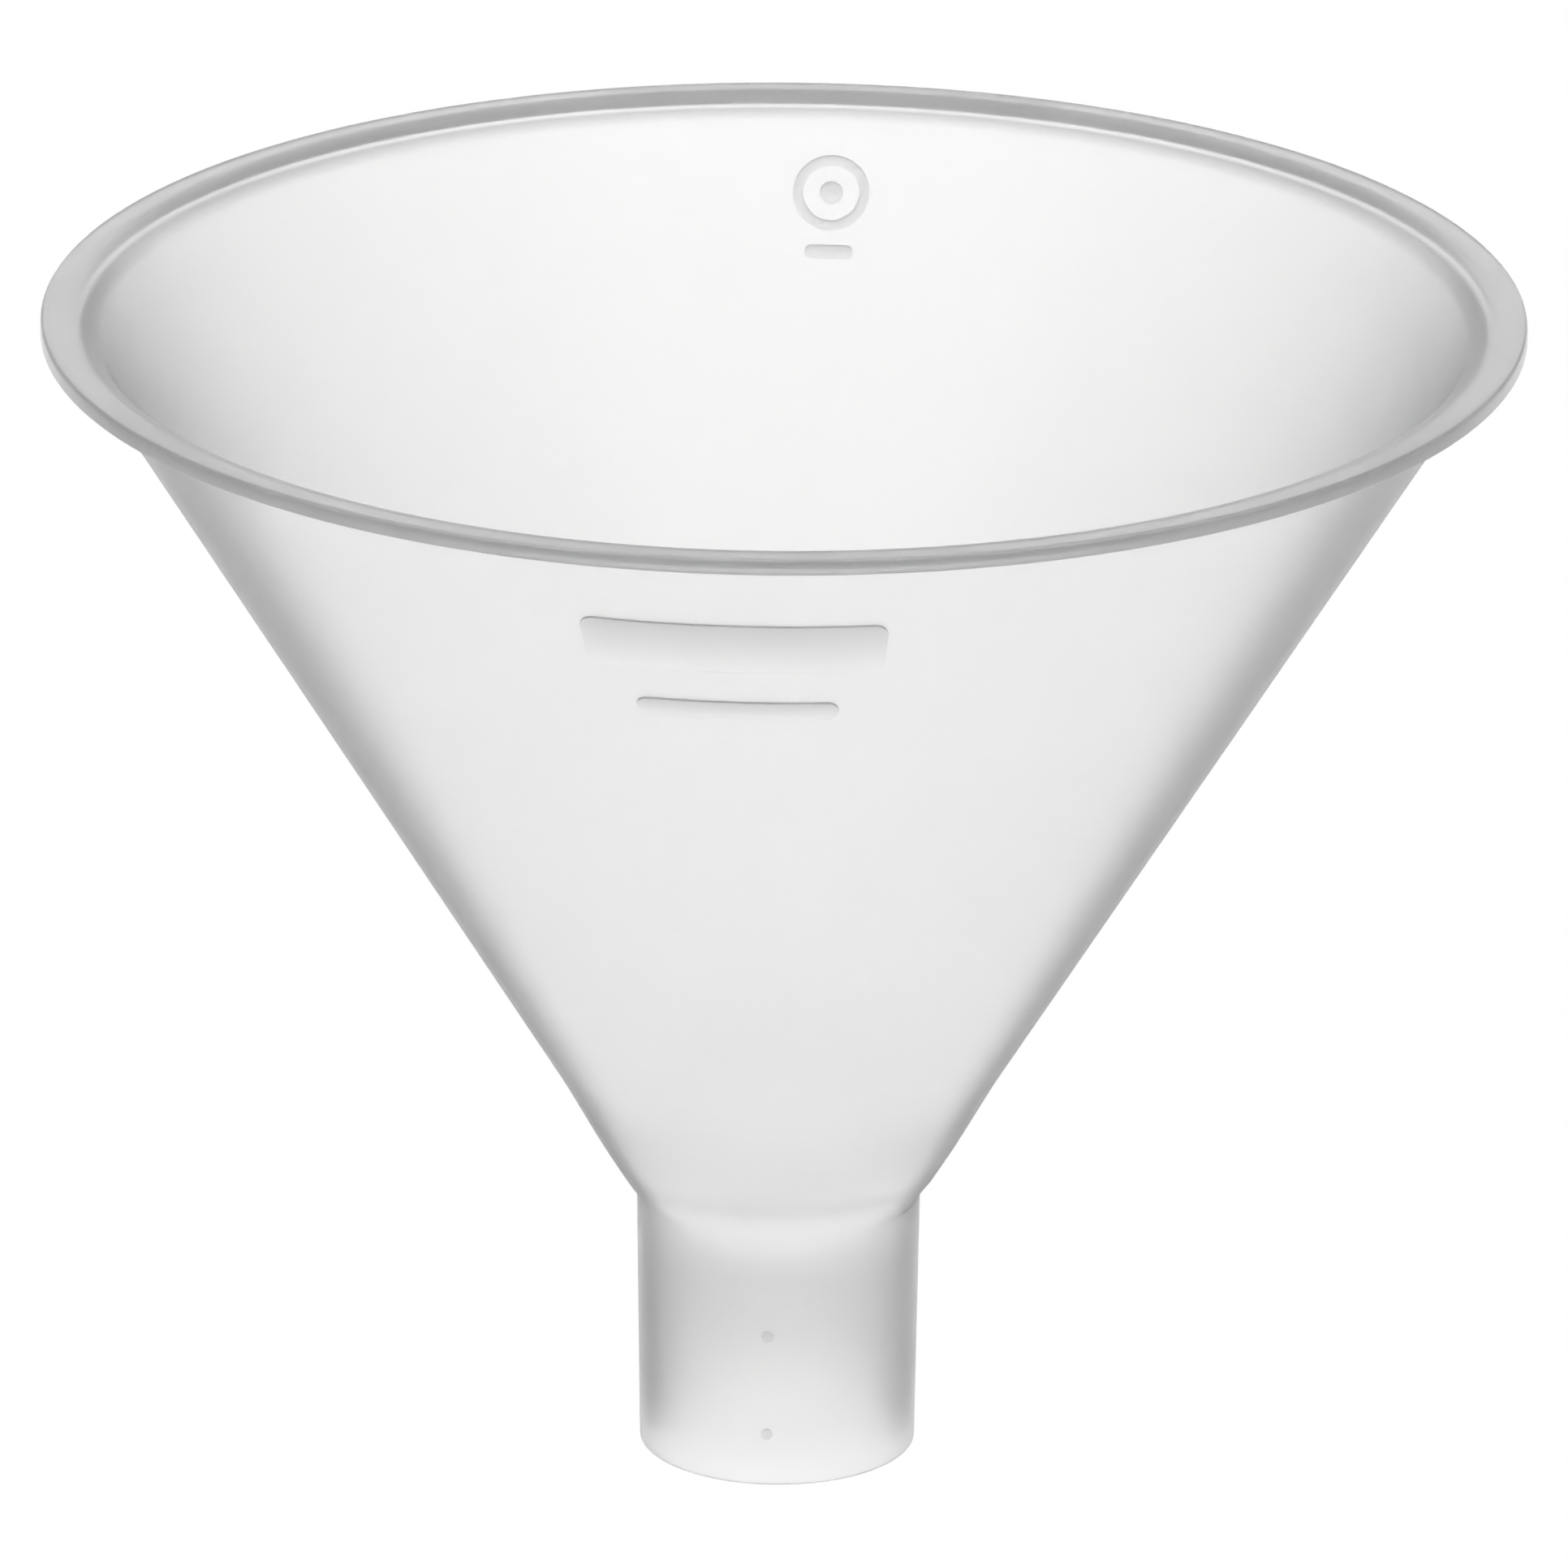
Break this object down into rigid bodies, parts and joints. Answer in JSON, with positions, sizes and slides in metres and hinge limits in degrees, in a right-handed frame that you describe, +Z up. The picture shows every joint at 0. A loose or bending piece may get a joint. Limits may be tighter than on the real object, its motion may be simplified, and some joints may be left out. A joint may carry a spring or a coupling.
{
  "type": "powder funnel",
  "caption": "Frosted translucent plastic powder funnel: flat-lipped round rim, plain steep cone and a wide short straight stem for filling jars and bottles.",
  "frame": {"origin": "on the funnel's axis at the lower end of the stem", "axes": "+Z up the axis towards the rim; -Y is the side with the blank raised tablet, +Y the side with the small raised ring"},
  "size_m": [0.15, 0.15, 0.1223],
  "materials": {
    "natural_polypropylene": "natural polypropylene, frosted and translucent, with a soft satin gloss"
  },
  "bodies": {
    "root": {"funnel_body": "natural_polypropylene"}
  },
  "joints": []
}
